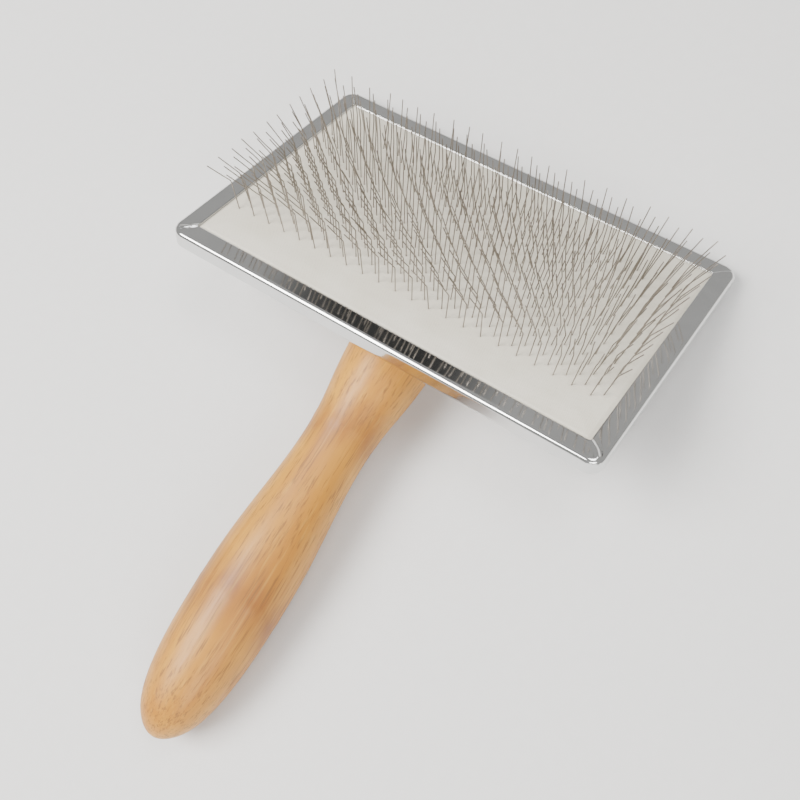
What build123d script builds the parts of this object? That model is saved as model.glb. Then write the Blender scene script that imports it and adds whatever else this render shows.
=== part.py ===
"""Slicker brush: a sheet-steel head with a pad of fine bent wire pins, on a turned bamboo handle.

The brush lies on its back on a flat surface, pins up: the far back edge of the head and the belly of the
handle touch the surface. X runs along the head's long side, Y from the handle's end towards the head.
All lengths are in millimetres and all angles in degrees.
"""

import os
from math import cos, radians, sin, tan

from build123d import *

# ---- head: a pressed sheet-steel tray ----
HEAD_LENGTH = 127.0
HEAD_WIDTH = 80.0
HEAD_DEPTH = 5.3
SHEET = 0.5
LIP = 5.8  # width of the folded front lip, from the outside of the wall
CORNER_RADIUS = 4.0
BEND_RADIUS = 1.2  # outside radius of the folds at the front and the back
SEAM_WIDTH = 0.25  # gap between two lips where they meet at a mitre
SEAM_OUTER = 2.4  # from the outside of both walls to a seam's outer end
MITRE_ANGLE = 45
OVERCUT = 0.1  # how far a cut runs past the sheet that it opens

# ---- layers inside the tray, from the front to the back ----
LAYER_GAP = 0.8  # side clearance of every layer to the tray's walls
FACE_SHEET = 0.5
CLOTH = 0.5
CROWN_SPACE = 0.5  # room behind the cloth for the staple crowns
CUSHION = 1.0
BOARD = HEAD_DEPTH - 2 * SHEET - FACE_SHEET - CLOTH - CROWN_SPACE - CUSHION

# ---- handle: bamboo, turned round, its end cut on the slant to sit on the head's back ----
HANDLE_ANGLE = 28.5  # between the handle's axis and the head's back
HANDLE_SEAT_Y = -5.8  # where the axis meets the head's back
HANDLE_PROFILE = [  # (distance along the axis from the head's back, radius)
    (-17.0, 0.0),
    (-14.5, 6.4),
    (-6.0, 10.6),
    (8.0, 11.7),
    (22.0, 11.6),
    (34.0, 10.7),
    (45.0, 9.2),
    (56.0, 8.85),
    (67.0, 9.6),
    (82.0, 11.0),
    (100.0, 11.5),
    (115.0, 10.9),
    (126.0, 9.1),
    (134.3, 5.0),
    (137.0, 0.0),
]

# ---- two countersunk wood screws through the board and the tray into the handle ----
SCREW_RADIUS = 1.75
SCREW_HEAD_RADIUS = 3.4
SCREW_LENGTH = 12.0
SCREW_POINT = 3.0
SCREW_CONE_ANGLE = 90
SCREW_PLACES = [-20.0, -4.0]  # Y places on the head
RECESS_LENGTH = 3.2
RECESS_WIDTH = 0.8
RECESS_DEPTH = 1.0
HOLE_ROOM = 0.05  # radial room round a screw

# ---- wire pins: two pins are the legs of one U-shaped staple ----
WIRE_RADIUS = 0.14
PIN_ROWS = 23
ROW_PITCH = 2.05
PIN_SPACING = 5.04
STAPLES_PER_ROW = 11
ROW_STAGGER = PIN_SPACING / 2  # every second row is shifted sideways
LOWER_LENGTH = 9.0  # from the pad to the knee
UPPER_LENGTH = 10.6  # from the knee to the tip
KNEE_RADIUS = 1.5
ROOT_RADIUS = 0.8
CROWN_RADIUS = 0.25
CROWN_DROP = 0.26  # from the back of the cloth to the middle of the crown wire
PIERCE_ROOM = 0.02  # radial room round a pin in the cloth and the face
FIELD_HALF_LENGTH = 53.0
FIELD_HALF_WIDTH = 22.5

# ---- the brush at rest on its back ----
REST_TILT = 24.62  # the head's slope when the far edge and the handle both touch the surface


def head_plane():
    """The plane of the head's front face, with Z out of the pad, when the brush is at rest."""
    s = sin(radians(REST_TILT))
    c = cos(radians(REST_TILT))
    height = (HEAD_WIDTH / 2 - BEND_RADIUS) * s + (HEAD_DEPTH - BEND_RADIUS) * c + BEND_RADIUS
    far_reach = (HEAD_WIDTH / 2 - BEND_RADIUS) * c - BEND_RADIUS * s + BEND_RADIUS
    along = HANDLE_PROFILE[-1][0]
    end_y = HANDLE_SEAT_Y - along * cos(radians(HANDLE_ANGLE))
    end_z = -HEAD_DEPTH - along * sin(radians(HANDLE_ANGLE))
    end_reach = end_y * c + end_z * s
    middle = (far_reach + end_reach) / 2
    return Plane(origin=(0, -middle, height), x_dir=(1, 0, 0), z_dir=(0, s, c))


HEAD = head_plane()
LIP_BACK = -SHEET
FACE_BACK = LIP_BACK - FACE_SHEET
CLOTH_BACK = FACE_BACK - CLOTH
CUSHION_FRONT = CLOTH_BACK - CROWN_SPACE
BOARD_FRONT = CUSHION_FRONT - CUSHION

os.makedirs("parts", exist_ok=True)


# ---------------------------------------------------------------- head tray
with BuildPart() as tray_cavity:
    with BuildSketch(HEAD.offset(LIP_BACK)):
        RectangleRounded(HEAD_LENGTH - 2 * SHEET, HEAD_WIDTH - 2 * SHEET, CORNER_RADIUS - SHEET)
    extrude(amount=-(HEAD_DEPTH - 2 * SHEET))
    ends = tray_cavity.faces().sort_by(Axis(HEAD.origin, HEAD.z_dir))
    fillet(ends[0].edges() + ends[-1].edges(), BEND_RADIUS - SHEET)

with BuildPart() as head_tray:
    with BuildSketch(HEAD):
        RectangleRounded(HEAD_LENGTH, HEAD_WIDTH, CORNER_RADIUS)
    extrude(amount=-HEAD_DEPTH)
    ends = head_tray.faces().sort_by(Axis(HEAD.origin, HEAD.z_dir))
    fillet(ends[0].edges() + ends[-1].edges(), BEND_RADIUS)
    add(tray_cavity.part, mode=Mode.SUBTRACT)
    with BuildSketch(HEAD):
        Rectangle(HEAD_LENGTH - 2 * LIP, HEAD_WIDTH - 2 * LIP)
    extrude(amount=-(SHEET + OVERCUT), mode=Mode.SUBTRACT)
    seam_inner = LIP + SEAM_WIDTH
    seam_length = (seam_inner - SEAM_OUTER) * 2**0.5
    seam_middle = (seam_inner + SEAM_OUTER) / 2
    with BuildSketch(HEAD):
        for side_x in (-1, 1):
            for side_y in (-1, 1):
                seam_x = side_x * (HEAD_LENGTH / 2 - seam_middle)
                seam_y = side_y * (HEAD_WIDTH / 2 - seam_middle)
                with Locations(Location((seam_x, seam_y), MITRE_ANGLE * side_x * side_y)):
                    Rectangle(seam_length, SEAM_WIDTH)
    extrude(amount=-(SHEET + OVERCUT), mode=Mode.SUBTRACT)
    with BuildSketch(HEAD.offset(-HEAD_DEPTH)):
        with Locations(*[(0, y) for y in SCREW_PLACES]):
            Circle(SCREW_RADIUS + HOLE_ROOM)
    extrude(amount=SHEET + OVERCUT, mode=Mode.SUBTRACT)
head_tray.part.label = "head_tray"
export_step(head_tray.part, "parts/head_tray.step")


# ---------------------------------------------------------------- layers in the tray
def layer_outline():
    """The outline that every layer inside the tray shares."""
    room = 2 * (SHEET + LAYER_GAP)
    return RectangleRounded(HEAD_LENGTH - room, HEAD_WIDTH - room, CORNER_RADIUS - SHEET)


with BuildPart() as core_board:
    with BuildSketch(HEAD.offset(BOARD_FRONT)):
        layer_outline()
    extrude(amount=-BOARD)
    with Locations(*[HEAD.offset(BOARD_FRONT) * Location((0, y, 0)) for y in SCREW_PLACES]):
        hole_radius = SCREW_RADIUS + HOLE_ROOM
        sink_radius = SCREW_HEAD_RADIUS + HOLE_ROOM
        CounterSinkHole(hole_radius, sink_radius, 2 * BOARD, SCREW_CONE_ANGLE)
core_board.part.label = "core_board"
export_step(core_board.part, "parts/core_board.step")

with BuildPart() as pad_cushion:
    with BuildSketch(HEAD.offset(CUSHION_FRONT)):
        layer_outline()
    extrude(amount=-CUSHION)
pad_cushion.part.label = "pad_cushion"
export_step(pad_cushion.part, "parts/pad_cushion.step")


# ---------------------------------------------------------------- wire pins
def row_y(row):
    """The Y place of a row of pins on the head."""
    return (row - (PIN_ROWS - 1) / 2) * ROW_PITCH


def leg_x(row, leg):
    """The X place of one pin of a row on the head."""
    stagger = ROW_STAGGER if row % 2 else 0
    last = 2 * STAPLES_PER_ROW - 1
    return (leg - last / 2) * PIN_SPACING + stagger - ROW_STAGGER / 2


def lower_slope(x, y):
    """The sideways rise of a pin's lower run, for one unit of height: the pins fan out from the pad."""
    u = x / FIELD_HALF_LENGTH
    v = y / FIELD_HALF_WIDTH
    return (0.03 + 0.15 * u + 0.06 * u**3 + 0.05 * v, -0.04 - 0.03 * u + 0.07 * v + 0.03 * v**2)


def upper_slope(x, y):
    """The same for the run above the knee, which leans towards the handle."""
    u = x / FIELD_HALF_LENGTH
    v = y / FIELD_HALF_WIDTH
    along = -0.1 - 0.2 * u + 0.25 * u**2 + 0.45 * u**3 + 0.05 * v
    across = -0.38 + 0.17 * u + 0.32 * v + 0.06 * v**2
    return (along, across)


def run(start, slope, length):
    """The end of a straight run that starts at a point and rises with a slope."""
    step = Vector(slope[0], slope[1], 1).normalized() * length
    return start + step


def pin_points(x, y):
    """A pin's root, knee and tip in the head's coordinates."""
    root = Vector(x, y, LIP_BACK + WIRE_RADIUS)
    knee = run(root, lower_slope(x, y), LOWER_LENGTH)
    tip = run(knee, upper_slope(x, y), UPPER_LENGTH)
    return root, knee, tip


def staple_wire(row, staple):
    """The bent middle line of one staple: tip, knee, root, crown, root, knee, tip."""
    y = row_y(row)
    left = leg_x(row, 2 * staple)
    right = leg_x(row, 2 * staple + 1)
    crown_z = CLOTH_BACK - CROWN_DROP
    first = pin_points(left, y)
    second = pin_points(right, y)
    bend = [Vector(left, y, crown_z), Vector(right, y, crown_z)]
    places = [*reversed(first), *bend, *second]
    radii = [KNEE_RADIUS, ROOT_RADIUS, CROWN_RADIUS, CROWN_RADIUS, ROOT_RADIUS, KNEE_RADIUS]
    return [HEAD.from_local_coords(place) for place in places], radii


for row in range(PIN_ROWS):
    with BuildPart() as pin_row:
        for staple in range(STAPLES_PER_ROW):
            places, radii = staple_wire(row, staple)
            with BuildLine() as wire:
                FilletPolyline(*places, radius=radii)
            with BuildSketch(Plane(origin=wire.line @ 0, z_dir=wire.line % 0)):
                Circle(WIRE_RADIUS)
            sweep(path=wire.line)
    pin_row.part.label = f"pin_row_{row + 1:02d}"
    export_step(pin_row.part, f"parts/{pin_row.part.label}.step")


# ---------------------------------------------------------------- cloth and face, pierced by every pin
def pin_places():
    """The places of all the pins on the head."""
    legs = range(2 * STAPLES_PER_ROW)
    return [(leg_x(row, leg), row_y(row)) for row in range(PIN_ROWS) for leg in legs]


PIN_PLACES = pin_places()

with BuildPart() as foundation_cloth:
    with BuildSketch(HEAD.offset(FACE_BACK)):
        layer_outline()
        with Locations(*PIN_PLACES):
            Circle(WIRE_RADIUS + PIERCE_ROOM, mode=Mode.SUBTRACT)
    extrude(amount=-CLOTH)
foundation_cloth.part.label = "foundation_cloth"
export_step(foundation_cloth.part, "parts/foundation_cloth.step")

with BuildPart() as pad_face:
    with BuildSketch(HEAD.offset(LIP_BACK)):
        layer_outline()
        with Locations(*PIN_PLACES):
            Circle(WIRE_RADIUS + PIERCE_ROOM, mode=Mode.SUBTRACT)
    extrude(amount=-FACE_SHEET)
pad_face.part.label = "pad_face"
export_step(pad_face.part, "parts/pad_face.step")


# ---------------------------------------------------------------- handle
def handle_plane():
    """X runs along the handle's axis from the head's back to the end, and Z along the head's long side."""
    along = Vector(0, -cos(radians(HANDLE_ANGLE)), -sin(radians(HANDLE_ANGLE)))
    seat = HEAD.from_local_coords(Vector(0, HANDLE_SEAT_Y, -HEAD_DEPTH))
    far = HEAD.from_local_coords(Vector(0, HANDLE_SEAT_Y, -HEAD_DEPTH) + along)
    return Plane(origin=seat, x_dir=far - seat, z_dir=(1, 0, 0))


HANDLE = handle_plane()

with BuildPart() as handle:
    with BuildSketch(HANDLE):
        with BuildLine():
            Spline(*HANDLE_PROFILE, tangents=[(0, 1), (0, -1)], tangent_scalars=[1, 1])
            Line(HANDLE_PROFILE[-1], HANDLE_PROFILE[0])
        make_face()
    revolve(axis=Axis(HANDLE.origin, HANDLE.x_dir))
    split(bisect_by=HEAD.offset(-HEAD_DEPTH), keep=Keep.BOTTOM)
    hole_depth = SCREW_LENGTH - (BOARD_FRONT + HEAD_DEPTH)
    with Locations(*[HEAD.offset(-HEAD_DEPTH) * Location((0, y, 0)) for y in SCREW_PLACES]):
        Hole(SCREW_RADIUS + HOLE_ROOM, hole_depth)
handle.part.label = "handle"
export_step(handle.part, "parts/handle.step")


# ---------------------------------------------------------------- screws
def screw_outline():
    """Half of a screw's section: flat head, countersunk cone, shank and point."""
    cone = (SCREW_HEAD_RADIUS - SCREW_RADIUS) / tan(radians(SCREW_CONE_ANGLE / 2))
    return [
        (0, 0),
        (SCREW_HEAD_RADIUS, 0),
        (SCREW_RADIUS, -cone),
        (SCREW_RADIUS, SCREW_POINT - SCREW_LENGTH),
        (0, -SCREW_LENGTH),
    ]


with BuildPart() as handle_screws:
    for y in SCREW_PLACES:
        seat = HEAD.from_local_coords(Vector(0, y, BOARD_FRONT))
        with BuildSketch(Plane(origin=seat, x_dir=(1, 0, 0), z_dir=-HEAD.y_dir)):
            with BuildLine():
                Polyline(*screw_outline(), close=True)
            make_face()
        revolve(axis=Axis(seat, HEAD.z_dir))
        with BuildSketch(Plane(origin=seat, x_dir=HEAD.x_dir, z_dir=HEAD.z_dir)):
            Rectangle(RECESS_LENGTH, RECESS_WIDTH)
            Rectangle(RECESS_WIDTH, RECESS_LENGTH)
        extrude(amount=-RECESS_DEPTH, mode=Mode.SUBTRACT)
handle_screws.part.label = "handle_screws"
export_step(handle_screws.part, "parts/handle_screws.step")
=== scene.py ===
"""Looks of the slicker brush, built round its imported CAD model.

Shapes are worked out in millimetres in the head's own coordinates: X along the head's long side, Y across it
away from the handle, Z out of the pad, with the origin in the middle of the head's front face. TO_ROW takes
them to metres in the row frame.
"""

import math
import random

import bmesh
import bpy
import numpy as np
from mathutils import Matrix, Vector, noise


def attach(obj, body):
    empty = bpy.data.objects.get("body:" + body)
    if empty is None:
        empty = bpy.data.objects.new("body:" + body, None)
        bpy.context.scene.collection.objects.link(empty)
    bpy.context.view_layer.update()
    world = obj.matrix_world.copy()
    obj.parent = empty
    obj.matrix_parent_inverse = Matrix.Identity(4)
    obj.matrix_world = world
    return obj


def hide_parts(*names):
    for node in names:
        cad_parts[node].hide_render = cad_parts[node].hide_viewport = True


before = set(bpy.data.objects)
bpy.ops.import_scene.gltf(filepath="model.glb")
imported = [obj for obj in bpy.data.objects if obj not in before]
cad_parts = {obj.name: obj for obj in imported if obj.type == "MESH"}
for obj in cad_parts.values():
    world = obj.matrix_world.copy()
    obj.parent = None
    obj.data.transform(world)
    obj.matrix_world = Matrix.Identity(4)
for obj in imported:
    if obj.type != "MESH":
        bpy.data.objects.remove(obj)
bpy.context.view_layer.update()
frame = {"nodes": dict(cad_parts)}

# ---- sizes of the CAD model, in millimetres ----
HEAD_LENGTH = 127.0
HEAD_WIDTH = 80.0
HEAD_DEPTH = 5.3
SHEET = 0.5
LIP = 5.8
CORNER_RADIUS = 4.0
BEND_RADIUS = 1.2
LAYER_GAP = 0.8
FACE_SHEET = 0.5
HANDLE_ANGLE = 28.5
HANDLE_SEAT_Y = -5.8
HANDLE_PROFILE = [
    (-17.0, 0.0),
    (-14.5, 6.4),
    (-6.0, 10.6),
    (8.0, 11.7),
    (22.0, 11.6),
    (34.0, 10.7),
    (45.0, 9.2),
    (56.0, 8.85),
    (67.0, 9.6),
    (82.0, 11.0),
    (100.0, 11.5),
    (115.0, 10.9),
    (126.0, 9.1),
    (134.3, 5.0),
    (137.0, 0.0),
]
WIRE_RADIUS = 0.14
PIN_ROWS = 23
ROW_PITCH = 2.05
PIN_SPACING = 5.04
PINS_PER_ROW = 22
ROW_STAGGER = PIN_SPACING / 2
LOWER_LENGTH = 9.0
UPPER_LENGTH = 10.6
KNEE_RADIUS = 1.5
FIELD_HALF_LENGTH = 53.0
FIELD_HALF_WIDTH = 22.5
REST_TILT = 24.62


def head_matrix():
    """From the head's coordinates in millimetres to the row frame in metres."""
    s = math.sin(math.radians(REST_TILT))
    c = math.cos(math.radians(REST_TILT))
    height = (HEAD_WIDTH / 2 - BEND_RADIUS) * s + (HEAD_DEPTH - BEND_RADIUS) * c + BEND_RADIUS
    far_reach = (HEAD_WIDTH / 2 - BEND_RADIUS) * c - BEND_RADIUS * s + BEND_RADIUS
    along = HANDLE_PROFILE[-1][0]
    end_y = HANDLE_SEAT_Y - along * math.cos(math.radians(HANDLE_ANGLE))
    end_z = -HEAD_DEPTH - along * math.sin(math.radians(HANDLE_ANGLE))
    middle = (far_reach + end_y * c + end_z * s) / 2
    turn = Matrix(((1, 0, 0, 0), (0, c, s, -middle), (0, -s, c, height), (0, 0, 0, 1)))
    return Matrix.Scale(0.001, 4) @ turn


TO_ROW = head_matrix()


def new_piece(name, points, faces, replaced):
    """A mesh piece from points in the head's coordinates; it rides on the brush and stands for CAD nodes."""
    mesh = bpy.data.meshes.new(name)
    mesh.from_pydata([TO_ROW @ Vector(p) for p in points], [], faces)
    mesh.validate()
    for polygon in mesh.polygons:
        polygon.use_smooth = True
    piece = bpy.data.objects.new(name, mesh)
    bpy.context.scene.collection.objects.link(piece)
    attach(piece, "root")
    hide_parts(*replaced)
    return piece


def clean_mesh(piece, merge):
    """Joins points closer than merge metres and turns all faces outwards."""
    bm = bmesh.new()
    bm.from_mesh(piece.data)
    bmesh.ops.remove_doubles(bm, verts=bm.verts, dist=merge)
    bmesh.ops.dissolve_degenerate(bm, edges=bm.edges, dist=merge)
    bmesh.ops.recalc_face_normals(bm, faces=bm.faces)
    bm.to_mesh(piece.data)
    bm.free()


def bell(value, width):
    """A smooth bump of height 1 at value 0."""
    return math.exp(-((value / width) ** 2))


def step(value, low, high):
    """0 below low, 1 above high, and smooth between."""
    t = min(max((value - low) / (high - low), 0.0), 1.0)
    return t * t * (3 - 2 * t)


# ---------------------------------------------------------------- head tray
SPAN_STEPS = [0.14, 0.28, 0.45, 0.65, 0.9, 1.25, 1.7, 2.3, 3.1, 4.2, 5.8, 8.0]
ARC_STEPS = 26
LIP_CEILING = 0.42  # the highest that a fold or wave may stand over the flat lip


def span_shares(length, count):
    """Places along a straight side, close together near its ends, as shares of its length."""
    ends = [value / length for value in SPAN_STEPS]
    first = ends[-1]
    inner = [first + (1 - 2 * first) * k / count for k in range(1, count)]
    return [0.0, *ends, *inner, *[1 - value for value in reversed(ends)]]


LONG_SHARES = span_shares(HEAD_LENGTH - 2 * CORNER_RADIUS, 60)
SHORT_SHARES = span_shares(HEAD_WIDTH - 2 * CORNER_RADIUS, 32)


def outline(inset):
    """The tray's rounded outline, moved inwards, as points in order round it."""
    radius = max(CORNER_RADIUS - inset, 0.0)
    far_x = HEAD_LENGTH / 2 - inset
    far_y = HEAD_WIDTH / 2 - inset
    x = far_x - radius
    y = far_y - radius
    corners = [(x, -y, -90), (x, y, 0), (-x, y, 90), (-x, -y, 180)]
    starts = [(-x, -far_y), (far_x, -y), (x, far_y), (-far_x, y)]
    stops = [(x, -far_y), (far_x, y), (-x, far_y), (-far_x, -y)]
    points = []
    for side in range(4):
        shares = LONG_SHARES if side % 2 == 0 else SHORT_SHARES
        a, b = starts[side], stops[side]
        points += [(a[0] + (b[0] - a[0]) * t, a[1] + (b[1] - a[1]) * t) for t in shares]
        cx, cy, angle = corners[side]
        for k in range(ARC_STEPS):
            turn = math.radians(angle + 90 * k / ARC_STEPS)
            points.append((cx + radius * math.cos(turn), cy + radius * math.sin(turn)))
    return points


def arc_section(inset, z, radius, start, stop, count):
    """Points of a bend in the sheet's section, as (inset, z)."""
    turns = [math.radians(start + (stop - start) * k / count) for k in range(count + 1)]
    return [(inset - radius * math.cos(t), z + radius * math.sin(t)) for t in turns]


def sheet_section():
    """The bent sheet's section, from the middle of the back, round the lip and back again."""
    inner = BEND_RADIUS - SHEET
    back = -HEAD_DEPTH
    wall = [(0.0, z) for z in (-3.6, -3.1, -2.6, -2.1, -1.6)]
    lip = [(inset, 0.0) for inset in (1.5, 1.9, 2.3, 2.7, 3.1, 3.5, 3.9, 4.3, 4.7, 5.1, 5.4)]
    edge = arc_section(LIP - 0.25, -0.25, 0.25, 90, 270, 6)
    edge = [(2 * (LIP - 0.25) - inset, z) for inset, z in edge]
    section = [(HEAD_WIDTH / 2, back), (30.0, back), (20.0, back), (10.0, back), (4.0, back)]
    section += arc_section(BEND_RADIUS, back + BEND_RADIUS, BEND_RADIUS, -90, 0, 8)
    section += wall
    section += arc_section(BEND_RADIUS, -BEND_RADIUS, BEND_RADIUS, 0, 90, 12)
    section += lip + edge[1:]
    section += [(3.4, -SHEET)]
    section += arc_section(BEND_RADIUS, -BEND_RADIUS, inner, 90, 0, 4)
    section += arc_section(BEND_RADIUS, back + BEND_RADIUS, inner, 0, -90, 4)
    section += [(10.0, back + SHEET), (HEAD_WIDTH / 2, back + SHEET)]
    return section


def corner_place(x, y):
    """The nearest corner's signs, the distance from it along the mitre, and the offset across the mitre."""
    side_x = 1 if x > 0 else -1
    side_y = 1 if y > 0 else -1
    from_x = HEAD_LENGTH / 2 - abs(x)
    from_y = HEAD_WIDTH / 2 - abs(y)
    along = (from_x + from_y) / 2**0.5
    across = (from_x - from_y) / 2**0.5
    return side_x, side_y, along, across


def mitre_lift(x, y):
    """How far the lip rises or sinks along the folded mitre seams; the near right one is folded widest."""
    side_x, side_y, along, across = corner_place(x, y)
    if along > 11.5:
        return 0.0
    reach = step(along, 1.6, 2.6) * (1 - step(along, 8.6, 9.6))
    if (side_x, side_y) == (1, -1):
        curve = across + 0.5 * math.sin((along - 2.0) / 6.2 * math.pi)
        ridge = 0.34 * bell(curve, 0.62 - 0.03 * along)
        crease = -0.16 * bell(curve + 0.95, 0.16) * step(along, 1.5, 4.0)
        return (ridge + crease) * reach
    curve = across - 0.18 * math.sin((along - 2.0) / 6.2 * math.pi)
    raised = 0.17 * step(-curve, -0.15, 0.12) * (1 - step(-curve, 0.35, 1.1))
    groove = -0.3 * bell(curve - 0.1, 0.13)
    return (raised + groove) * reach


def crumple(x, y, z):
    """Small outward dents where the sheet is gathered at a corner, as an offset in millimetres."""
    side_x, side_y, along, across = corner_place(x, y)
    strength = 0.16 if (side_x, side_y) == (1, -1) else 0.07
    near = bell(across, 3.2) * (1 - step(along, 2.2, 4.2)) * step(z, -4.2, -2.4)
    turn = math.atan2(across, along + 1.5)
    folds = noise.noise(Vector((turn * 7.0, z * 1.3, side_x * 3.1 + side_y * 7.7)))
    fine = noise.noise(Vector((turn * 19.0, z * 3.1, side_x * 5.3 + side_y)))
    return strength * near * (folds + 0.5 * fine)


def sheet_wave(x, y):
    """The slight unevenness of the pressed lips."""
    slow = noise.noise(Vector((x / 26.0, y / 26.0, 4.2)))
    quick = noise.noise(Vector((x / 9.0, y / 9.0, 9.1)))
    return 0.05 * slow + 0.008 * quick


def tray_point(x, y, inset, z, front):
    """A point of the tray's surface with its folds, dents and waves."""
    if front:
        lip = step(inset, 0.5, 1.4)
        z += lip * (mitre_lift(x, y) + sheet_wave(x, y))
    if inset < 3.0:
        push = crumple(x, y, z)
        side_x, side_y = corner_place(x, y)[:2]
        x -= side_x * push * 0.7
        y -= side_y * push * 0.7
        z += push * 0.6
    return (x, y, min(z, LIP_CEILING))


def build_tray():
    section = sheet_section()
    points = []
    for index, (inset, z) in enumerate(section):
        front = z > -BEND_RADIUS - 0.01 and inset < LIP + 0.01
        points += [tray_point(x, y, inset, z, front) for x, y in outline(inset)]
    around = len(outline(0.0))
    faces = []
    for ring in range(len(section) - 1):
        for k in range(around):
            n = (k + 1) % around
            low = ring * around
            high = low + around
            faces.append((low + k, low + n, high + n, high + k))
    piece = new_piece("tray_shell", points, faces, ["head_tray"])
    clean_mesh(piece, 2e-6)
    return piece


# ---------------------------------------------------------------- pins
WIRE_SIDES = 10
KNEE_STEPS = 8
LEAN_SPREAD = 0.028  # chance sideways lean of a run, for one unit of height
SAG_SPREAD = 0.05  # chance bow of the upper run, in millimetres


def row_y(row):
    return (row - (PIN_ROWS - 1) / 2) * ROW_PITCH


def leg_x(row, leg):
    stagger = ROW_STAGGER if row % 2 else 0
    return (leg - (PINS_PER_ROW - 1) / 2) * PIN_SPACING + stagger - ROW_STAGGER / 2


def lower_slope(x, y):
    """The sideways rise of a pin's lower run along X and Y, for one unit of height."""
    u = x / FIELD_HALF_LENGTH
    v = y / FIELD_HALF_WIDTH
    return (0.03 + 0.15 * u + 0.06 * u**3 + 0.05 * v, -0.04 - 0.03 * u + 0.07 * v + 0.03 * v**2)


def upper_slope(x, y):
    """The same for the run above the knee."""
    u = x / FIELD_HALF_LENGTH
    v = y / FIELD_HALF_WIDTH
    along = -0.1 - 0.2 * u + 0.25 * u**2 + 0.45 * u**3 + 0.05 * v
    across = -0.38 + 0.17 * u + 0.32 * v + 0.06 * v**2
    return (along, across)


def wire_line(x, y, draw):
    """The middle line of one pin, with its rounded knee and its own slight lean."""
    lean = [draw.gauss(0, LEAN_SPREAD) for _ in range(4)]
    low = lower_slope(x, y)
    high = upper_slope(x, y)
    root = Vector((x, y, -SHEET + 0.02))
    first = Vector((low[0] + lean[0], low[1] + lean[1], 1)).normalized()
    second = Vector((high[0] + lean[2], high[1] + lean[3], 1)).normalized()
    knee = root + first * LOWER_LENGTH
    reach = KNEE_RADIUS * math.tan(first.angle(second) / 2)
    start = knee - first * reach
    stop = knee + second * reach
    tip = knee + second * UPPER_LENGTH
    bend = []
    for k in range(KNEE_STEPS + 1):
        t = k / KNEE_STEPS
        bend.append(start * (1 - t) ** 2 + knee * 2 * t * (1 - t) + stop * t**2)
    lower = [root - Vector((0, 0, 0.6)), root, root.lerp(start, 0.5)]
    upper = [stop.lerp(tip, 0.34), stop.lerp(tip, 0.67), tip]
    sag = Vector((draw.gauss(0, SAG_SPREAD), draw.gauss(0, SAG_SPREAD), 0))
    upper[0] = upper[0] + sag
    upper[1] = upper[1] + sag
    return lower + bend + upper


def add_tube(points, faces, line, radius, sides):
    """A round wire along a line, with a slightly rounded tip."""
    line = [*line, line[-1] + (line[-1] - line[-2]).normalized() * radius * 0.5]
    base = len(points)
    last = len(line) - 1
    for k, place in enumerate(line):
        ahead = (line[min(k + 1, last)] - line[max(k - 1, 0)]).normalized()
        side = (Vector((1, 0, 0)) - ahead * ahead.x).normalized()
        other = ahead.cross(side)
        width = radius * (0.55 if k == last else 1)
        for n in range(sides):
            turn = 2 * math.pi * n / sides
            points.append(place + (side * math.cos(turn) + other * math.sin(turn)) * width)
    for k in range(last):
        for n in range(sides):
            m = (n + 1) % sides
            a = base + k * sides
            b = a + sides
            faces.append((a + n, a + m, b + m, b + n))
    faces.append(tuple(base + n for n in reversed(range(sides))))
    faces.append(tuple(base + last * sides + n for n in range(sides)))


def build_pins():
    draw = random.Random(7)
    rows = []
    for row in range(PIN_ROWS):
        points, faces = [], []
        for leg in range(PINS_PER_ROW):
            line = wire_line(leg_x(row, leg), row_y(row), draw)
            add_tube(points, faces, line, WIRE_RADIUS, WIRE_SIDES)
        node = f"pin_row_{row + 1:02d}"
        rows.append(new_piece(f"wires_{row + 1:02d}", points, faces, [node]))
    return rows


# ---------------------------------------------------------------- pad
PAD_TOP = -SHEET
PAD_CELLS_X = 12  # grid cells in one pin spacing
PAD_CELLS_Y = 6  # grid cells in one row pitch
DIMPLE_DEPTH = 0.16
DIMPLE_RADIUS = 0.42


def pin_distance(x, y):
    """Distance to the nearest pin's root, or a large number outside the field."""
    best = 9.0
    near = round(y / ROW_PITCH + (PIN_ROWS - 1) / 2)
    for row in range(max(near - 1, 0), min(near + 2, PIN_ROWS)):
        leg = round((x - leg_x(row, 0)) / PIN_SPACING)
        leg = min(max(leg, 0), PINS_PER_ROW - 1)
        best = min(best, math.hypot(x - leg_x(row, leg), y - row_y(row)))
    return best


def pad_height(x, y):
    """The pad's face: crowned a little inside the lips, pitted where each wire pierces it."""
    half_x = HEAD_LENGTH / 2 - LIP
    half_y = HEAD_WIDTH / 2 - LIP
    edge = min(half_x - abs(x), half_y - abs(y))
    crown = 0.3 * step(edge, 0.05, 0.5) + 0.3 * step(edge, 0.3, 6.0)
    quilt = 0.05 * noise.noise(Vector((x / 6.0, y / 6.0, 1.7)))
    gap = pin_distance(x, y)
    pit = DIMPLE_DEPTH * bell(gap, DIMPLE_RADIUS)
    rise = 0.05 * bell(gap - 0.75, 0.3)
    return PAD_TOP - 0.02 + crown + quilt * step(edge, 0.3, 3.0) - pit + rise


def pad_line(half, pitch):
    """Evenly spaced places across the pad, no further apart than pitch."""
    count = round(2 * half / pitch)
    return [-half + 2 * half * k / count for k in range(count + 1)]


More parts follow.
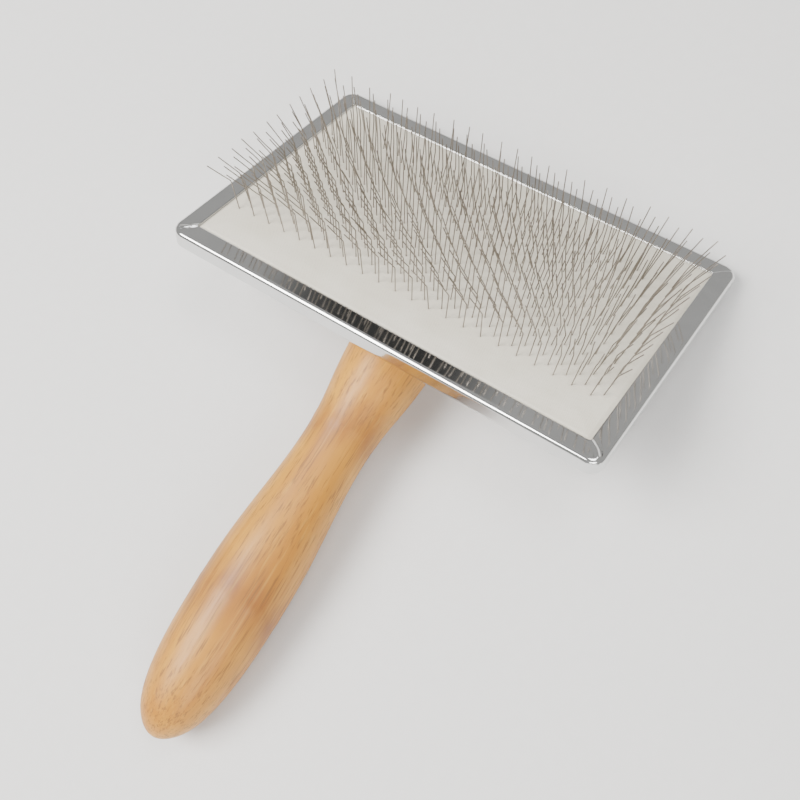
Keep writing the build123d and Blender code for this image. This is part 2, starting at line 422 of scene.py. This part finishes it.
def build_pad():
    room = SHEET + LAYER_GAP
    half_x = HEAD_LENGTH / 2 - room
    half_y = HEAD_WIDTH / 2 - room
    xs = pad_line(half_x, PIN_SPACING / PAD_CELLS_X)
    ys = pad_line(half_y, ROW_PITCH / PAD_CELLS_Y)
    points = [(x, y, pad_height(x, y)) for y in ys for x in xs]
    wide = len(xs)
    faces = []
    for j in range(len(ys) - 1):
        for i in range(wide - 1):
            a = j * wide + i
            faces.append((a, a + 1, a + wide + 1, a + wide))
    rim = list(range(wide))
    rim += [j * wide + wide - 1 for j in range(1, len(ys))]
    rim += [(len(ys) - 1) * wide + i for i in reversed(range(wide - 1))]
    rim += [j * wide for j in reversed(range(1, len(ys) - 1))]
    base = len(points)
    points += [(points[k][0], points[k][1], PAD_TOP - FACE_SHEET) for k in rim]
    count = len(rim)
    for k in range(count):
        n = (k + 1) % count
        faces.append((rim[n], rim[k], base + k, base + n))
    faces.append(tuple(base + k for k in reversed(range(count))))
    piece = new_piece("pin_pad", points, faces, ["pad_face"])
    return piece


# ---------------------------------------------------------------- handle
def clamped_spline(knots, start, stop, count):
    """Points of a smooth curve through the knots, with given directions at both ends."""
    p = np.array(knots, float)
    h = np.linalg.norm(np.diff(p, axis=0), axis=1)
    n = len(p)
    a = np.eye(n)
    b = np.zeros((n, 2))
    b[0], b[-1] = start, stop
    for i in range(1, n - 1):
        a[i, i - 1 : i + 2] = [h[i], 2 * (h[i - 1] + h[i]), h[i - 1]]
        before = (p[i] - p[i - 1]) / h[i - 1]
        after = (p[i + 1] - p[i]) / h[i]
        b[i] = 3 * (before * h[i] + after * h[i - 1])
    slope = np.linalg.solve(a, b)
    length = np.concatenate([[0], np.cumsum(h)])
    points = []
    for s in np.linspace(0, length[-1], count):
        i = min(int(np.searchsorted(length, s, side="right")) - 1, n - 2)
        t = (s - length[i]) / h[i]
        one = (1 + 2 * t) * (1 - t) ** 2 * p[i] + t * (1 - t) ** 2 * h[i] * slope[i]
        two = t * t * (3 - 2 * t) * p[i + 1] + t * t * (t - 1) * h[i] * slope[i + 1]
        points.append(one + two)
    return points


HANDLE_SIDES = 96
HANDLE_RINGS = 260
NODE_PLACES = [48.0, 98.0]  # bamboo nodes, along the handle's axis


def handle_frame():
    """The seat point and the axis, side and top directions of the handle on the head."""
    angle = math.radians(HANDLE_ANGLE)
    seat = Vector((0, HANDLE_SEAT_Y, -HEAD_DEPTH))
    axis = Vector((0, -math.cos(angle), -math.sin(angle)))
    side = Vector((1, 0, 0))
    return seat, axis, side, axis.cross(side)


def build_handle():
    seat, axis, side, top = handle_frame()
    curve = clamped_spline(HANDLE_PROFILE, (0, 1), (0, -1), HANDLE_RINGS)
    points = []
    for along, radius in curve:
        for k in range(HANDLE_SIDES):
            turn = 2 * math.pi * k / HANDLE_SIDES
            ripple = 0.05 * noise.noise(Vector((along / 14, math.cos(turn) * 1.5, math.sin(turn) * 1.5)))
            for node in NODE_PLACES:
                ripple += 0.07 * bell(along - node - 0.8 * math.sin(turn + node), 1.4)
            reach = max(radius + ripple * min(radius / 4, 1), 0.0)
            points.append(seat + axis * along + (side * math.cos(turn) + top * math.sin(turn)) * reach)
    faces = []
    for ring in range(len(curve) - 1):
        for k in range(HANDLE_SIDES):
            n = (k + 1) % HANDLE_SIDES
            a = ring * HANDLE_SIDES
            b = a + HANDLE_SIDES
            faces.append((a + k, a + n, b + n, b + k))
    piece = new_piece("bamboo_grip", points, faces, ["handle"])
    bm = bmesh.new()
    bm.from_mesh(piece.data)
    bmesh.ops.remove_doubles(bm, verts=bm.verts, dist=1e-6)
    cut = TO_ROW @ Vector((0, 0, -HEAD_DEPTH))
    normal = (TO_ROW.to_3x3() @ Vector((0, 0, 1))).normalized()
    everything = bm.verts[:] + bm.edges[:] + bm.faces[:]
    done = bmesh.ops.bisect_plane(bm, geom=everything, plane_co=cut, plane_no=normal, clear_outer=True)
    rim = [e for e in done["geom_cut"] if isinstance(e, bmesh.types.BMEdge)]
    bmesh.ops.contextual_create(bm, geom=rim)
    bmesh.ops.recalc_face_normals(bm, faces=bm.faces)
    bm.to_mesh(piece.data)
    bm.free()
    return piece


# ---------------------------------------------------------------- materials
class Shader:
    """A small helper for node materials."""

    def __init__(self, name):
        self.material = bpy.data.materials.new(name)
        self.material.use_nodes = True
        self.nodes = self.material.node_tree.nodes
        self.links = self.material.node_tree.links
        self.principled = self.nodes["Principled BSDF"]

    def add(self, kind, values=None, **settings):
        node = self.nodes.new("ShaderNode" + kind)
        for key, value in settings.items():
            setattr(node, key, value)
        for key, value in (values or {}).items():
            self.put(node.inputs[key], value)
        return node

    def put(self, socket, value):
        if isinstance(value, bpy.types.NodeSocket):
            self.links.new(value, socket)
        elif isinstance(value, bpy.types.Node):
            self.links.new(value.outputs[0], socket)
        else:
            socket.default_value = value

    def math(self, operation, a, b=0.0):
        node = self.add("Math", operation=operation)
        self.put(node.inputs[0], a)
        self.put(node.inputs[1], b)
        return node.outputs[0]

    def mix(self, share, a, b):
        node = self.add("Mix", data_type="RGBA")
        self.put(node.inputs["Factor"], share)
        self.put(node.inputs[6], a)
        self.put(node.inputs[7], b)
        return node.outputs[2]

    def ramp(self, value, low, high, a=0.0, b=1.0):
        node = self.add("MapRange", clamp=True)
        self.put(node.inputs["Value"], value)
        for key, number in (("From Min", low), ("From Max", high), ("To Min", a), ("To Max", b)):
            node.inputs[key].default_value = number
        return node.outputs["Result"]

    def noise(self, vector, scale, detail=3.0, roughness=0.5, distortion=0.0):
        values = {"Vector": vector, "Scale": scale, "Detail": detail, "Roughness": roughness}
        values["Distortion"] = distortion
        return self.add("TexNoise", values).outputs["Fac"]

    def place(self, location=(0, 0, 0), rotation=(0, 0, 0), scale=(1, 1, 1)):
        """Coordinates in a frame set on the object, with its own scale."""
        coords = self.add("TexCoord").outputs["Object"]
        frame_map = self.add("Mapping", {"Vector": coords}, vector_type="TEXTURE")
        frame_map.inputs["Location"].default_value = location
        frame_map.inputs["Rotation"].default_value = rotation
        stretch = self.add("Mapping", {"Vector": frame_map}, vector_type="POINT")
        stretch.inputs["Scale"].default_value = scale
        return stretch.outputs["Vector"]

    def bump(self, height, strength, distance, normal=None):
        node = self.add("Bump", {"Height": height, "Strength": strength, "Distance": distance})
        if normal is not None:
            self.put(node.inputs["Normal"], normal)
        return node.outputs["Normal"]

    def surface(self, **values):
        names = {"color": "Base Color", "metal": "Metallic", "rough": "Roughness", "normal": "Normal"}
        names.update(coat="Coat Weight", coat_rough="Coat Roughness", sheen="Sheen Weight")
        for key, value in values.items():
            self.put(self.principled.inputs[names[key]], value)
        return self.material


HEAD_TURN = (-math.radians(REST_TILT), 0.0, 0.0)
HEAD_ORIGIN = tuple(TO_ROW.translation)


def steel_material(name, color, rough, wave):
    """Bright rolled sheet: faint rolling lines along the head, a few soft smudges."""
    s = Shader(name)
    lines = s.place(HEAD_ORIGIN, HEAD_TURN, (60, 2600, 2600))
    cloud = s.place(HEAD_ORIGIN, HEAD_TURN, (90, 90, 90))
    grain = s.noise(lines, 1.0, 4.0, 0.65)
    smudge = s.noise(cloud, 1.0, 5.0, 0.6, 0.4)
    tint = s.mix(s.ramp(smudge, 0.35, 0.7), (*[c * 0.93 for c in color], 1), (*color, 1))
    worn = s.ramp(smudge, 0.3, 0.75, rough * 0.75, rough * 1.5)
    roughness = s.math("ADD", worn, s.ramp(grain, 0.3, 0.7, 0, 0.03))
    normal = s.bump(grain, wave, 0.00002)
    return s.surface(color=tint, metal=1.0, rough=roughness, normal=normal)


def wire_material():
    """Drawn steel wire, dull grey-brown with darker stretches."""
    s = Shader("drawn_wire")
    around = s.place(scale=(700, 700, 700))
    slow = s.place(scale=(90, 90, 90))
    speck = s.noise(around, 1.0, 3.0)
    patch = s.noise(slow, 1.0, 2.0)
    color = s.mix(s.ramp(patch, 0.35, 0.65), (0.2, 0.175, 0.15, 1), (0.32, 0.285, 0.25, 1))
    rough = s.ramp(speck, 0.3, 0.7, 0.3, 0.5)
    return s.surface(color=color, metal=0.8, rough=rough, normal=s.bump(speck, 0.3, 0.00002))


def pad_material():
    """Cream rubber-faced cloth: a fine weave showing through, faint marks, and soft shade in the pits
    painted into the colour as darker specks.
    """
    s = Shader("cream_pad")
    fine = s.place(HEAD_ORIGIN, HEAD_TURN, (1, 1, 1))
    split = s.add("SeparateXYZ", {"Vector": fine})
    thread = 2 * math.pi / 0.00055
    warp = s.math("SINE", s.math("MULTIPLY", split.outputs["X"], thread))
    weft = s.math("SINE", s.math("MULTIPLY", split.outputs["Y"], thread))
    weave = s.math("MULTIPLY", warp, weft)
    cloud = s.place(HEAD_ORIGIN, HEAD_TURN, (70, 70, 70))
    grain = s.place(HEAD_ORIGIN, HEAD_TURN, (1500, 1500, 1500))
    blotch = s.noise(cloud, 1.0, 4.0, 0.6)
    pores_and_shade = s.noise(grain, 1.0, 3.0, 0.6)
    color = s.mix(s.ramp(blotch, 0.3, 0.7), (0.69, 0.645, 0.535, 1), (0.77, 0.73, 0.625, 1))
    # painted shade: darker specks of the pore noise stand in for soft shade in the pits
    color = s.mix(s.ramp(pores_and_shade, 0.56, 0.75, 0, 0.35), color, (0.52, 0.48, 0.4, 1))
    normal = s.bump(weave, 0.25, 0.00005)
    normal = s.bump(pores_and_shade, 0.25, 0.00006, normal)
    return s.surface(color=color, rough=s.ramp(pores_and_shade, 0.3, 0.7, 0.7, 0.85), normal=normal, sheen=0.1)


def bamboo_material():
    """Turned bamboo: pale strips, brown nodes, fine dark fibre dashes along the handle, thin lacquer."""
    s = Shader("bamboo")
    origin = tuple(TO_ROW @ handle_frame()[0])
    tilt = (-math.radians(REST_TILT) + math.radians(HANDLE_ANGLE), 0.0, 0.0)
    grain = s.place(origin, tilt, (1, 1, 1))
    split = s.add("SeparateXYZ", {"Vector": grain})
    along = s.math("MULTIPLY", split.outputs["Y"], -1.0)
    fibre = s.place(origin, tilt, (1700, 42, 1700))
    fine = s.place(origin, tilt, (3300, 95, 3300))
    strip = s.place(origin, tilt, (170, 5, 170))
    cloud = s.place(origin, tilt, (60, 34, 60))
    long_tone = s.noise(strip, 1.0, 3.0, 0.55)
    streak = s.noise(fibre, 1.0, 3.0, 0.6)
    dash = s.noise(fine, 1.0, 2.0, 0.5)
    blotch = s.noise(cloud, 1.0, 4.0, 0.6)
    color = s.mix(s.ramp(long_tone, 0.32, 0.68), (0.44, 0.175, 0.012, 1), (0.6, 0.285, 0.028, 1))
    color = s.mix(s.ramp(blotch, 0.42, 0.72, 0, 0.45), color, (0.42, 0.17, 0.022, 1))
    wobble = s.math("MULTIPLY", s.math("SUBTRACT", blotch, 0.5), 0.022)
    for place, width, depth in zip(NODE_PLACES, (0.008, 0.012), (0.8, 0.9)):
        gap = s.math("ABSOLUTE", s.math("SUBTRACT", s.math("ADD", along, wobble), place / 1000))
        band = s.ramp(gap, 0.0, width, depth, 0.0)
        patch = s.noise(s.place(origin, tilt, (260, 60, 260)), 1.0, 4.0)
        patchy = s.math("MULTIPLY", band, s.ramp(patch, 0.3, 0.58, 0.4, 1.0))
        color = s.mix(patchy, color, (0.26, 0.085, 0.012, 1))
    dark = s.math("MULTIPLY", s.ramp(streak, 0.5, 0.6, 0, 0.75), s.ramp(dash, 0.42, 0.55))
    color = s.mix(dark, color, (0.2, 0.085, 0.02, 1))
    pale = s.ramp(s.noise(s.place(origin, tilt, (1400, 16, 1400)), 1.0, 2.0), 0.55, 0.75, 0, 0.3)
    color = s.mix(pale, color, (0.68, 0.37, 0.055, 1))
    rough = s.ramp(streak, 0.3, 0.7, 0.36, 0.52)
    normal = s.bump(streak, 0.35, 0.00006)
    return s.surface(color=color, rough=rough, normal=normal, coat=0.02, coat_rough=0.3)


def board_material():
    """Raw thin plywood."""
    s = Shader("plywood_board")
    figure = s.noise(s.place(HEAD_ORIGIN, HEAD_TURN, (12, 260, 260)), 1.0, 5.0, 0.6)
    color = s.mix(s.ramp(figure, 0.3, 0.7), (0.5, 0.35, 0.2, 1), (0.68, 0.52, 0.34, 1))
    return s.surface(color=color, rough=0.7, normal=s.bump(figure, 0.3, 0.0001))


def felt_material():
    """Soft grey-white felt."""
    s = Shader("felt_cushion")
    fluff = s.noise(s.place(scale=(2200, 2200, 2200)), 1.0, 5.0, 0.7)
    color = s.mix(s.ramp(fluff, 0.3, 0.7), (0.62, 0.6, 0.56, 1), (0.8, 0.78, 0.74, 1))
    return s.surface(color=color, rough=0.95, normal=s.bump(fluff, 0.6, 0.0002), sheen=0.3)


def cloth_material():
    """Dense woven foundation cloth."""
    s = Shader("woven_cloth")
    split = s.add("SeparateXYZ", {"Vector": s.place(HEAD_ORIGIN, HEAD_TURN)})
    thread = 2 * math.pi / 0.0007
    warp = s.math("SINE", s.math("MULTIPLY", split.outputs["X"], thread))
    weft = s.math("SINE", s.math("MULTIPLY", split.outputs["Y"], thread))
    weave = s.math("MULTIPLY", warp, weft)
    color = s.mix(s.ramp(weave, -1, 1), (0.55, 0.5, 0.4, 1), (0.76, 0.71, 0.6, 1))
    return s.surface(color=color, rough=0.9, normal=s.bump(weave, 0.6, 0.0001), sheen=0.2)


def screw_material():
    """Zinc-plated wood screws."""
    s = Shader("zinc_screws")
    fleck = s.noise(s.place(scale=(900, 900, 900)), 1.0, 4.0)
    color = s.mix(s.ramp(fleck, 0.3, 0.7), (0.5, 0.5, 0.47, 1), (0.66, 0.66, 0.62, 1))
    rough = s.ramp(fleck, 0.3, 0.7, 0.3, 0.45)
    return s.surface(color=color, metal=1.0, rough=rough, normal=s.bump(fleck, 0.2, 0.00002))


def paint(obj, material):
    obj.data.materials.clear()
    obj.data.materials.append(material)


# ---------------------------------------------------------------- scene round the object
CAMERA_PLACE = (93.5, -182.5, 184.3)
CAMERA_RIGHT = (0.8225, 0.5653, 0.0628)
CAMERA_DOWN = (0.4706, -0.6144, -0.6333)
CAMERA_AHEAD = (-0.3194, 0.5505, -0.7714)
CAMERA_LENS = 46.94
FLOOR_HEIGHT = -0.0002
DARK_AZIMUTH = 23.5  # degrees from +Y towards -X
DARK_HEIGHT = 25.0
DARK_OUTER = 8.5  # where the dark stretch starts to fade in, in degrees from its middle
DARK_INNER = 2.2


def build_camera():
    data = bpy.data.cameras.new("view")
    data.lens = CAMERA_LENS
    data.sensor_width = 36.0
    data.clip_start = 0.01
    data.clip_end = 20.0
    camera = bpy.data.objects.new("view", data)
    bpy.context.scene.collection.objects.link(camera)
    turn = TO_ROW.to_3x3()
    right, up, back = (
        (turn @ Vector(v)).normalized() * sign
        for v, sign in ((CAMERA_RIGHT, 1), (CAMERA_DOWN, -1), (CAMERA_AHEAD, -1))
    )
    facing = Matrix((right, up, back)).transposed().to_4x4()
    camera.matrix_world = Matrix.Translation(TO_ROW @ Vector(CAMERA_PLACE)) @ facing
    bpy.context.scene.camera = camera


def build_floor():
    """A wide pale sheet of paper, curling up gently far away."""
    size, count, flat = 2.4, 48, 1.2
    points, faces = [], []
    for j in range(count + 1):
        for i in range(count + 1):
            x = (i / count - 0.5) * 2 * size
            y = (j / count - 0.5) * 2 * size
            far = max(math.hypot(x, y) - flat, 0.0)
            points.append((x, y, FLOOR_HEIGHT + 0.25 * far**2))
    for j in range(count):
        for i in range(count):
            a = j * (count + 1) + i
            faces.append((a, a + 1, a + count + 2, a + count + 1))
    mesh = bpy.data.meshes.new("floor")
    mesh.from_pydata(points, [], faces)
    for polygon in mesh.polygons:
        polygon.use_smooth = True
    floor = bpy.data.objects.new("floor", mesh)
    bpy.context.scene.collection.objects.link(floor)
    s = Shader("pale_paper")
    fibre = s.noise(s.place(scale=(300, 300, 300)), 1.0, 4.0)
    color = s.mix(fibre, (0.76, 0.755, 0.745, 1), (0.8, 0.795, 0.785, 1))
    paint(floor, s.surface(color=color, rough=0.85))


def area_light(name, place, target, size, power, tone=(1, 1, 1)):
    data = bpy.data.lights.new(name, "AREA")
    data.shape = "RECTANGLE"
    data.size, data.size_y = size
    data.energy = power
    data.color = tone
    lamp = bpy.data.objects.new(name, data)
    bpy.context.scene.collection.objects.link(lamp)
    lamp.location = place
    lamp.rotation_mode = "QUATERNION"
    lamp.rotation_quaternion = (Vector(target) - Vector(place)).to_track_quat("-Z", "Y")


def build_world():
    """A pale studio: light walls, with one darker stretch of room low behind the head."""
    world = bpy.data.worlds.new("studio")
    bpy.context.scene.world = world
    world.use_nodes = True
    tree = world.node_tree
    nodes, links = tree.nodes, tree.links
    ray = nodes.new("ShaderNodeTexCoord").outputs["Generated"]
    dark = nodes.new("ShaderNodeVectorMath")
    dark.operation = "DOT_PRODUCT"
    links.new(ray, dark.inputs[0])
    azimuth, height = math.radians(DARK_AZIMUTH), math.radians(DARK_HEIGHT)
    dark.inputs[1].default_value = (
        -math.sin(azimuth) * math.cos(height),
        math.cos(azimuth) * math.cos(height),
        math.sin(height),
    )
    spot = nodes.new("ShaderNodeMapRange")
    spot.interpolation_type = "SMOOTHSTEP"
    links.new(dark.outputs["Value"], spot.inputs["Value"])
    spot.inputs["From Min"].default_value = math.cos(math.radians(DARK_OUTER))
    spot.inputs["From Max"].default_value = math.cos(math.radians(DARK_INNER))
    spot.inputs["To Min"].default_value = 0.5
    spot.inputs["To Max"].default_value = 0.05
    links.new(spot.outputs["Result"], nodes["Background"].inputs["Strength"])
    nodes["Background"].inputs["Color"].default_value = (1.0, 0.99, 0.97, 1)


def build_lights():
    area_light("key", (-0.35, -0.3, 0.8), (0, 0.02, 0.02), (0.55, 0.55), 17.0, (1, 0.985, 0.96))
    area_light("fill", (0.6, -0.45, 0.5), (0, 0, 0.02), (0.5, 0.4), 4.0)
    area_light("top", (0.25, 0.3, 0.95), (0, 0.03, 0.02), (0.5, 0.3), 4.0)


# ---------------------------------------------------------------- put together
build_camera()
build_floor()
build_world()
build_lights()

paint(build_tray(), steel_material("bright_steel", (0.72, 0.725, 0.72), 0.05, 0.04))
paint(build_pad(), pad_material())
paint(build_handle(), bamboo_material())
WIRE = wire_material()
for wires in build_pins():
    paint(wires, WIRE)

nodes = frame["nodes"]
paint(nodes["foundation_cloth"], cloth_material())
paint(nodes["pad_cushion"], felt_material())
paint(nodes["core_board"], board_material())
paint(nodes["handle_screws"], screw_material())
